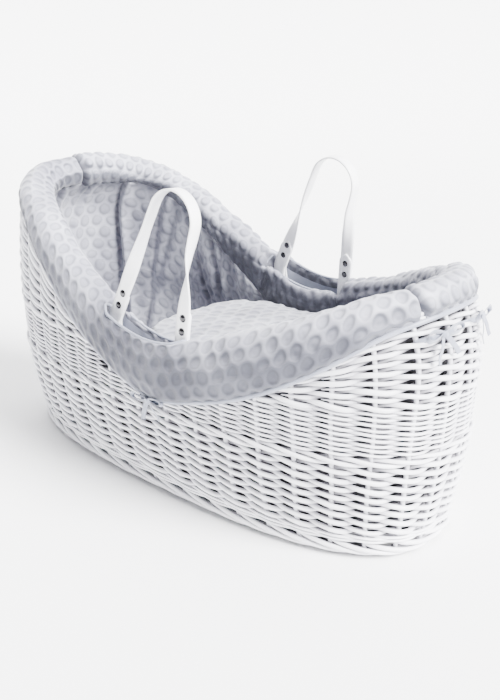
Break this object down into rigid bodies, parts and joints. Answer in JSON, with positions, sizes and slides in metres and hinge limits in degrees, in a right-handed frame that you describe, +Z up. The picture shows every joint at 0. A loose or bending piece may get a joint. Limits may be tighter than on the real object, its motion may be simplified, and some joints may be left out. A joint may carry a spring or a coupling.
{
  "type": "moses basket",
  "caption": "Hooded white willow pod moses basket with grey dimple-plush dressing, ribbon ties, lift-out mattress and quilted coverlet, and two riveted strap handles that swing and fold.",
  "frame": {"origin": "on the floor, in the middle of the overall length and width", "axes": "+Z up, +X from the hooded head end towards the low foot end, +Y to the far side; symmetric about Y = 0"},
  "size_m": [0.8468, 0.4348, 0.4806],
  "materials": {
    "willow": "painted white, satin",
    "plush": "short pile with raised round dimples",
    "satin": "smooth satin weave",
    "mattress_cloth": "plain woven cover",
    "strap": "white coated strap, satin",
    "rivet_metal": "dark nickel, polished"
  },
  "bodies": {
    "basket": {"foot_border": "willow", "base_mat": "willow", "lower_weave": "willow", "wale_band": "willow", "upper_weave": "willow", "rim_border": "willow", "stakes": "willow", "liner": "plush", "bumper_near": "plush", "bumper_far": "plush", "bumper_foot": "plush", "hem_piping": "satin", "slot_binding_near": "satin", "slot_binding_far": "satin", "bow_side_near": "satin", "bow_side_far": "satin", "bow_foot_near": "satin", "bow_foot_far": "satin"},
    "bedding_mattress": {"mattress": "mattress_cloth"},
    "bedding_coverlet": {"coverlet": "plush"},
    "handle_near_ends": {"strap_head_end_near": "strap", "strap_foot_end_near": "strap", "rivets_near": "rivet_metal"},
    "handle_near_arch": {"strap_arch_near": "strap"},
    "handle_far_ends": {"strap_head_end_far": "strap", "strap_foot_end_far": "strap", "rivets_far": "rivet_metal"},
    "handle_far_arch": {"strap_arch_far": "strap"}
  },
  "joints": [
    {"name": "mattress_lift", "type": "slide", "parent": "basket", "child": "bedding_mattress", "axis": [0, 0, 1], "range_m": [0, 0.1]},
    {"name": "coverlet_lift", "type": "slide", "parent": "bedding_mattress", "child": "bedding_coverlet", "axis": [0, 0, 1], "range_m": [0, 0.1]},
    {"name": "near_ends_swing", "type": "hinge", "parent": "basket", "child": "handle_near_ends", "pos_m": [0, -0.18961, 0.221], "axis": [1, 0, 0], "range_deg": [-5, 5]},
    {"name": "near_arch_bend", "type": "hinge", "parent": "handle_near_ends", "child": "handle_near_arch", "pos_m": [0, -0.18304, 0.33281], "axis": [1, 0, 0], "range_deg": [-75, 75]},
    {"name": "far_ends_swing", "type": "hinge", "parent": "basket", "child": "handle_far_ends", "pos_m": [0, 0.18961, 0.221], "axis": [-1, 0, 0], "range_deg": [-5, 5]},
    {"name": "far_arch_bend", "type": "hinge", "parent": "handle_far_ends", "child": "handle_far_arch", "pos_m": [0, 0.18304, 0.33281], "axis": [-1, 0, 0], "range_deg": [-75, 75]}
  ]
}
